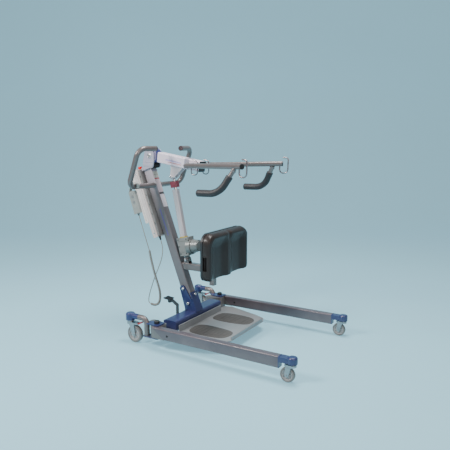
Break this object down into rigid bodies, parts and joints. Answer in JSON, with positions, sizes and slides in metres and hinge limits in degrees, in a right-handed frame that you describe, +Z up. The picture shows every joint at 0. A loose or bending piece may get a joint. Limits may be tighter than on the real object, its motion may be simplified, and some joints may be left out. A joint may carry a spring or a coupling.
{
  "type": "patient lift hoist",
  "caption": "Powered sit-to-stand patient lift with a leaning mast, hinged boom with grips and sling hooks, knee pad, footplate and spreading legs on castors.",
  "frame": {"origin": "on the floor, under the middle of the lift's overall length and width", "axes": "+X forward, the way the boom reaches; +Y to the lift's left; +Z up"},
  "size_m": [1.265, 0.772, 1.1111],
  "materials": {
    "silver": "satin",
    "lavender_silver": "satin",
    "navy": "gloss",
    "leg_brown": "satin",
    "cast_silver": "satin",
    "footplate_grey": "satin",
    "bolt_steel": "polished",
    "hook_wire": "polished",
    "rod_steel": "satin",
    "tube_aluminium": "satin",
    "housing_beige": "satin",
    "motor_grey": "satin",
    "box_beige": "satin",
    "rail_grey": "satin",
    "battery_beige": "satin",
    "stop_red": "gloss",
    "brake_red": "gloss",
    "handset_grey": "satin",
    "button_grey": "satin",
    "cord_grey": "satin",
    "gland_black": "matte",
    "plug_dark": "matte",
    "collar_maroon": "satin",
    "knob_black": "satin",
    "foam_charcoal": "matte",
    "pad_charcoal": "matte",
    "shell_black": "matte",
    "pedal_dark": "satin",
    "fork_zinc": "satin",
    "wheel_grey": "matte"
  },
  "bodies": {
    "frame": {"base_crossbeam": "navy", "mast_bracket": "navy", "mast": "lavender_silver", "mast_head": "lavender_silver", "frame_bolts": "bolt_steel", "push_handles": "silver", "handle_end_plugs": "plug_dark", "knee_arm": "silver", "control_box_rail": "rail_grey", "control_box": "box_beige", "cable_gland": "gland_black", "handset": "handset_grey", "handset_cord_top": "cord_grey", "handset_cord_curly": "cord_grey", "handset_cord_end": "cord_grey", "rear_arms": "navy", "rear_elbows": "silver", "leg_pivot_plates": "navy", "leg_pivot_bolts": "knob_black"},
    "boom": {"boom_hub": "navy", "boom": "lavender_silver", "boom_gusset": "silver", "boom_clevis_bolts": "bolt_steel", "sling_arms": "silver", "foam_grips": "foam_charcoal", "arm_end_plugs": "knob_black", "arm_hooks": "hook_wire", "bar_hooks": "hook_wire", "hook_bar": "silver"},
    "actuator": {"actuator_housing": "housing_beige", "actuator_motor": "motor_grey", "actuator_tube": "tube_aluminium"},
    "rod": {"actuator_rod": "rod_steel"},
    "collar": {"lowering_collar": "collar_maroon"},
    "knee_knob": {"knee_height_knob": "knob_black"},
    "knee_rest": {"knee_pad_post": "silver", "knee_pad_shell": "shell_black", "knee_pad": "pad_charcoal"},
    "battery": {"battery_pack": "battery_beige"},
    "stop_button": {"emergency_stop": "stop_red"},
    "button_up": {"handset_button_up": "button_grey"},
    "button_down": {"handset_button_down": "button_grey"},
    "pedals": {"spread_pedals": "pedal_dark"},
    "footplate": {"footplate": "footplate_grey"},
    "leg_left": {"leg_left": "leg_brown", "leg_root_left": "cast_silver", "leg_end_left": "navy"},
    "front_fork_left": {"castor_fork_front_left": "fork_zinc"},
    "front_wheel_left": {"castor_wheel_front_left": "wheel_grey"},
    "rear_fork_left": {"castor_fork_rear_left": "fork_zinc"},
    "rear_wheel_left": {"castor_wheel_rear_left": "wheel_grey"},
    "brake_left": {"brake_lever_left": "brake_red"},
    "leg_right": {"leg_right": "leg_brown", "leg_root_right": "cast_silver", "leg_end_right": "navy"},
    "front_fork_right": {"castor_fork_front_right": "fork_zinc"},
    "front_wheel_right": {"castor_wheel_front_right": "wheel_grey"},
    "rear_fork_right": {"castor_fork_rear_right": "fork_zinc"},
    "rear_wheel_right": {"castor_wheel_rear_right": "wheel_grey"},
    "brake_right": {"brake_lever_right": "brake_red"}
  },
  "joints": [
    {"name": "boom_lift", "type": "hinge", "parent": "frame", "child": "boom", "pos_m": [-0.5005, 0, 1.052], "axis": [0, -1, 0], "range_deg": [-4, 45]},
    {"name": "actuator_swing", "type": "hinge", "parent": "frame", "child": "actuator", "pos_m": [-0.2515, 0, 0.434], "axis": [0, -1, 0], "range_deg": [-8, 1]},
    {"name": "actuator_extend", "type": "slide", "parent": "actuator", "child": "rod", "axis": [-0.1938, 0, 0.981], "range_m": [-0.013, 0.135]},
    {"name": "collar_twist", "type": "hinge", "parent": "rod", "child": "collar", "pos_m": [-0.33988, 0, 0.88135], "axis": [-0.1938, 0, 0.981], "range_deg": [0, 30]},
    {"name": "knee_knob_turn", "type": "hinge", "parent": "frame", "child": "knee_knob", "pos_m": [-0.0705, 0.027, 0.392], "axis": [0, 1, 0], "continuous": true},
    {"name": "knee_height", "type": "slide", "parent": "frame", "child": "knee_rest", "axis": [0, 0, 1], "range_m": [-0.06, 0.06]},
    {"name": "battery_lift_off", "type": "slide", "parent": "frame", "child": "battery", "axis": [-0.3584, 0, 0.9336], "range_m": [0, 0.05]},
    {"name": "emergency_stop_press", "type": "slide", "parent": "frame", "child": "stop_button", "axis": [0.3584, 0, -0.9336], "range_m": [0, 0.0025], "stiffness_N_per_m": 1500, "springref_m": -0.001},
    {"name": "button_up_press", "type": "slide", "parent": "frame", "child": "button_up", "axis": [0, 1, 0], "range_m": [0, 0.0015], "stiffness_N_per_m": 800, "springref_m": -0.0005},
    {"name": "button_down_press", "type": "slide", "parent": "frame", "child": "button_down", "axis": [0, 1, 0], "range_m": [0, 0.0015], "stiffness_N_per_m": 800, "springref_m": -0.0005},
    {"name": "spread_pedal_rock", "type": "hinge", "parent": "frame", "child": "pedals", "pos_m": [-0.2665, 0, 0.095], "axis": [1, 0, 0], "range_deg": [0, 10]},
    {"name": "footplate_slide", "type": "slide", "parent": "frame", "child": "footplate", "axis": [1, 0, 0], "range_m": [0, 0.12]},
    {"name": "leg_spread_left", "type": "hinge", "parent": "frame", "child": "leg_left", "pos_m": [-0.2305, 0.33, 0.095], "axis": [0, 0, 1], "range_deg": [0, 12]},
    {"name": "front_swivel_left", "type": "hinge", "parent": "leg_left", "child": "front_fork_left", "pos_m": [0.6075, 0.361, 0.1], "axis": [0, 0, 1], "continuous": true},
    {"name": "front_roll_left", "type": "hinge", "parent": "front_fork_left", "child": "front_wheel_left", "pos_m": [0.5835, 0.361, 0.0375], "axis": [0, 1, 0], "continuous": true},
    {"name": "rear_swivel_left", "type": "hinge", "parent": "frame", "child": "rear_fork_left", "pos_m": [-0.4105, 0.345, 0.12], "axis": [0, 0, 1], "continuous": true},
    {"name": "rear_roll_left", "type": "hinge", "parent": "rear_fork_left", "child": "rear_wheel_left", "pos_m": [-0.3765, 0.345, 0.05], "axis": [0, 1, 0], "continuous": true},
    {"name": "brake_pedal_left", "type": "hinge", "parent": "rear_fork_left", "child": "brake_left", "pos_m": [-0.3505, 0.345, 0.112], "axis": [0, 1, 0], "range_deg": [0, 12]},
    {"name": "leg_spread_right", "type": "hinge", "parent": "frame", "child": "leg_right", "pos_m": [-0.2305, -0.33, 0.095], "axis": [0, 0, -1], "range_deg": [0, 12]},
    {"name": "front_swivel_right", "type": "hinge", "parent": "leg_right", "child": "front_fork_right", "pos_m": [0.6075, -0.361, 0.1], "axis": [0, 0, 1], "continuous": true},
    {"name": "front_roll_right", "type": "hinge", "parent": "front_fork_right", "child": "front_wheel_right", "pos_m": [0.5835, -0.361, 0.0375], "axis": [0, 1, 0], "continuous": true},
    {"name": "rear_swivel_right", "type": "hinge", "parent": "frame", "child": "rear_fork_right", "pos_m": [-0.4105, -0.345, 0.12], "axis": [0, 0, 1], "continuous": true},
    {"name": "rear_roll_right", "type": "hinge", "parent": "rear_fork_right", "child": "rear_wheel_right", "pos_m": [-0.3765, -0.345, 0.05], "axis": [0, 1, 0], "continuous": true},
    {"name": "brake_pedal_right", "type": "hinge", "parent": "rear_fork_right", "child": "brake_right", "pos_m": [-0.3505, -0.345, 0.112], "axis": [0, 1, 0], "range_deg": [0, 12]}
  ],
  "couplings": [
    {"joint": "actuator_swing", "follows": "boom_lift", "ratio": -0.17},
    {"joint": "actuator_extend", "follows": "boom_lift", "m_per_rad": 0.1685},
    {"joint": "leg_spread_left", "follows": "spread_pedal_rock", "ratio": 1.2},
    {"joint": "leg_spread_right", "follows": "spread_pedal_rock", "ratio": 1.2}
  ]
}
